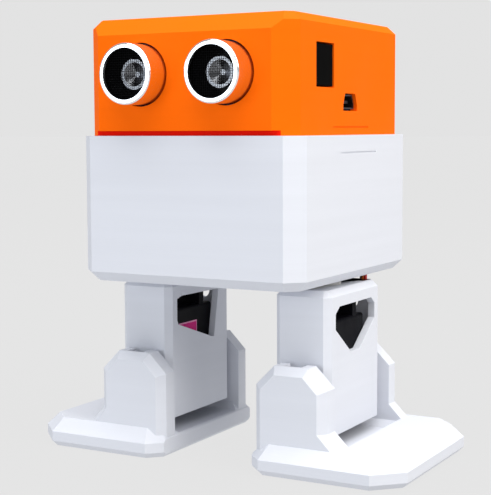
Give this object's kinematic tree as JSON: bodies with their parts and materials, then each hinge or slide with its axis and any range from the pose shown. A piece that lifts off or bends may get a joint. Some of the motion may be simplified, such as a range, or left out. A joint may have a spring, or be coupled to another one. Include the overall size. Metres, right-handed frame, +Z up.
{
  "type": "walking robot",
  "caption": "Small printed walking robot with a boxy head over a box body, round sensor eyes, and legs that turn at the hip and roll at the ankle on broad flat feet.",
  "frame": {"origin": "on the ground, under the middle of the whole robot's box", "axes": "+Z up, -Y to the robot's front where the eyes look, +X to the robot's own left"},
  "size_m": [0.115, 0.08, 0.1212],
  "materials": {
    "white_plastic": "printed, fine layer lines",
    "orange_plastic": "printed, fine layer lines",
    "black_plastic": "moulded",
    "servo_plastic": "moulded",
    "horn_plastic": "moulded",
    "aluminium": "drawn, satin",
    "steel": "plated",
    "steel_mesh": "dark woven gauze",
    "transducer_plastic": "moulded",
    "circuit_board": "solder mask",
    "terminal_plastic": "moulded",
    "label_film": "plain printed film",
    "cell_wrap": "shrink wrap",
    "brass": "gear brass",
    "wire_pvc": "soft insulation"
  },
  "bodies": {
    "body": {"body_shell": "white_plastic", "head_shell": "orange_plastic", "eye_can_left": "aluminium", "eye_can_right": "aluminium", "eye_meshes": "steel_mesh", "eye_transducers": "transducer_plastic", "sensor_board": "circuit_board", "sensor_crystal": "steel", "sensor_chips": "black_plastic", "sensor_header": "black_plastic", "expansion_board": "circuit_board", "expansion_board_screws": "steel", "controller_board": "circuit_board", "controller_headers": "black_plastic", "controller_chips": "black_plastic", "usb_connector": "steel", "servo_pin_header": "black_plastic", "lead_plugs": "black_plastic", "power_terminal": "terminal_plastic", "buzzer": "black_plastic", "battery_holder": "black_plastic", "battery_cells": "cell_wrap", "battery_contacts": "steel", "power_switch_body": "black_plastic", "sensor_lead": "wire_pvc", "battery_leads": "wire_pvc", "hip_servo_screws": "steel", "hip_servo_left_case": "servo_plastic", "hip_servo_left_gearbox": "servo_plastic", "hip_lead_left": "wire_pvc", "ankle_lead_left_upper": "wire_pvc", "hip_servo_right_case": "servo_plastic", "hip_servo_right_gearbox": "servo_plastic", "hip_lead_right": "wire_pvc", "ankle_lead_right_upper": "wire_pvc"},
    "switch_button": {"power_switch_button": "black_plastic"},
    "leg_left": {"leg_left": "white_plastic", "hip_shaft_left": "brass", "hip_horn_left": "horn_plastic", "ankle_servo_left_case": "servo_plastic", "ankle_servo_left_gearbox": "servo_plastic", "ankle_servo_left_label": "label_film", "ankle_lead_left_lower": "wire_pvc", "leg_left_screws": "steel"},
    "foot_left": {"foot_left": "white_plastic", "ankle_shaft_left": "brass", "ankle_horn_left": "horn_plastic", "ankle_horn_screw_left": "steel"},
    "leg_right": {"leg_right": "white_plastic", "hip_shaft_right": "brass", "hip_horn_right": "horn_plastic", "ankle_servo_right_case": "servo_plastic", "ankle_servo_right_gearbox": "servo_plastic", "ankle_servo_right_label": "label_film", "ankle_lead_right_lower": "wire_pvc", "leg_right_screws": "steel"},
    "foot_right": {"foot_right": "white_plastic", "ankle_shaft_right": "brass", "ankle_horn_right": "horn_plastic", "ankle_horn_screw_right": "steel"}
  },
  "joints": [
    {"name": "hip_yaw_left", "type": "hinge", "parent": "body", "child": "leg_left", "pos_m": [0.025, 0.00365, 0.05], "axis": [0, 0, 1], "range_deg": [-45, 45]},
    {"name": "ankle_roll_left", "type": "hinge", "parent": "leg_left", "child": "foot_left", "pos_m": [0.025, 0.00365, 0.0229], "axis": [0, 1, 0], "range_deg": [-60, 60]},
    {"name": "hip_yaw_right", "type": "hinge", "parent": "body", "child": "leg_right", "pos_m": [-0.025, 0.00365, 0.05], "axis": [0, 0, 1], "range_deg": [-45, 45]},
    {"name": "ankle_roll_right", "type": "hinge", "parent": "leg_right", "child": "foot_right", "pos_m": [-0.025, 0.00365, 0.0229], "axis": [0, 1, 0], "range_deg": [-60, 60]},
    {"name": "power_switch_press", "type": "slide", "parent": "body", "child": "switch_button", "axis": [-1, 0, 0], "range_m": [0, 0.0018], "stiffness_N_per_m": 600, "springref_m": -0.002}
  ]
}
